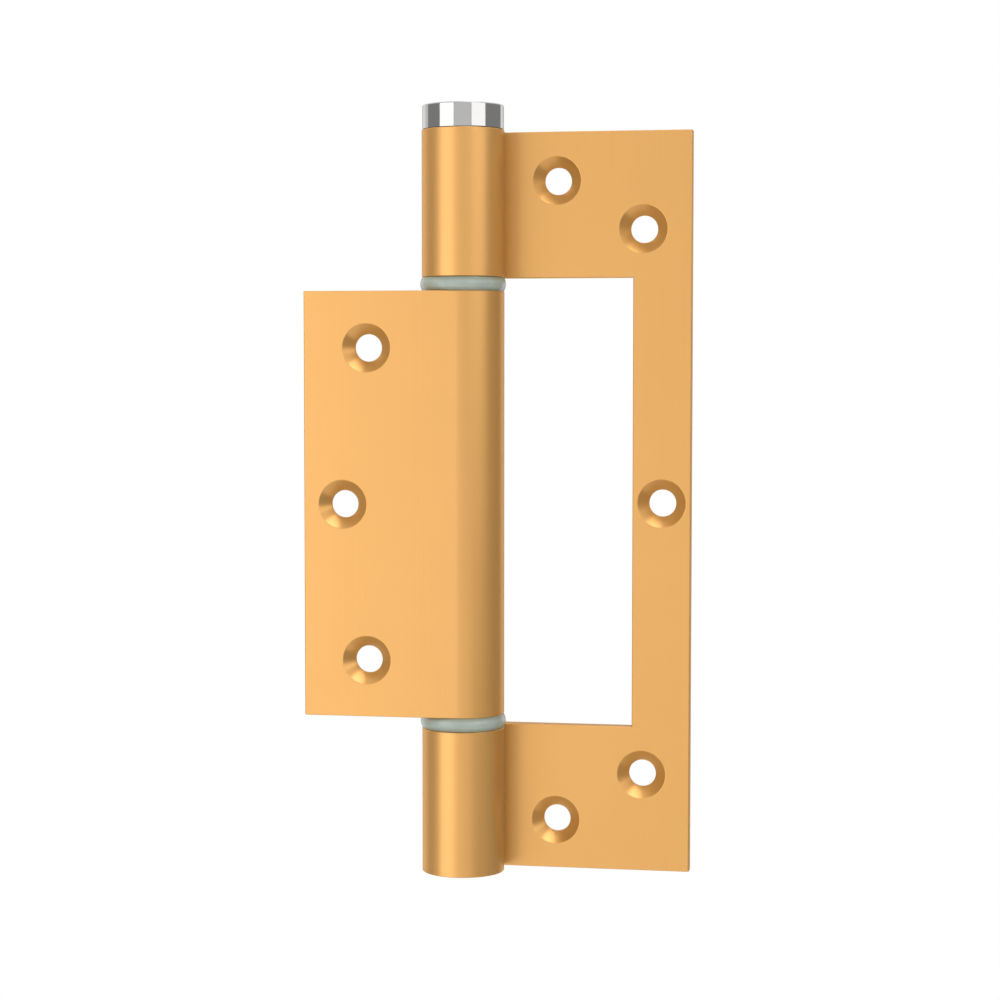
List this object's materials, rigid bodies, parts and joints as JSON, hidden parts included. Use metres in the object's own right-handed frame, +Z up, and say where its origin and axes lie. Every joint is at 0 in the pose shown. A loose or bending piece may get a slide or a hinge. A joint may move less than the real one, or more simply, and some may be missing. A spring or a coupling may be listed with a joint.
{
  "type": "single action spring hinge",
  "caption": "Flush spring hinge: a torsion spring in the barrel swings the door leaf shut into the window of the frame leaf.",
  "frame": {"origin": "on the pivot axis at mid-height of the leaves", "axes": "+Z up the barrel towards the cap, +X towards the frame leaf, +Y towards the door frame that the frame leaf is screwed to; stored with the leaves flat open as pictured"},
  "size_m": [0.0921, 0.0208, 0.1859],
  "materials": {
    "gold_anodised_aluminium": "satin gold anodised, extruded and sawn",
    "pale_nylon": "moulded, slightly translucent, semi-gloss",
    "polished_steel": "polished, nickel plated",
    "turned_steel": "turned, lightly oiled",
    "bearing_sleeve": "drawn steel tube, zinc plated",
    "spring_steel": "oil-tempered spring wire",
    "black_screw_steel": "black oxide",
    "dark_plastic": "moulded"
  },
  "bodies": {
    "frame": {"frame_leaf": "gold_anodised_aluminium", "upper_sleeve": "bearing_sleeve", "lower_sleeve": "bearing_sleeve", "lower_pivot": "turned_steel", "bottom_plug": "dark_plastic", "lock_screw": "black_screw_steel", "pivot_screw": "black_screw_steel"},
    "door": {"door_leaf": "gold_anodised_aluminium", "upper_ring": "pale_nylon", "lower_ring": "pale_nylon", "lower_spring_holder": "turned_steel"},
    "adjuster": {"top_cap": "polished_steel", "tension_spindle": "turned_steel", "upper_spring_holder": "turned_steel", "holder_pin": "turned_steel", "thrust_washer": "turned_steel", "spindle_clip": "spring_steel", "torsion_spring": "spring_steel"}
  },
  "joints": [
    {"name": "door_swing", "type": "hinge", "parent": "frame", "child": "door", "pos_m": [0, 0, 0], "axis": [0, 0, 1], "range_deg": [0, 180], "stiffness_Nm_per_rad": 0.4, "springref_deg": 180, "deforming": ["torsion_spring"]},
    {"name": "tension_adjust", "type": "hinge", "parent": "frame", "child": "adjuster", "pos_m": [0, 0, 0], "axis": [0, 0, 1], "range_deg": [0, 60], "deforming": ["torsion_spring"]}
  ]
}
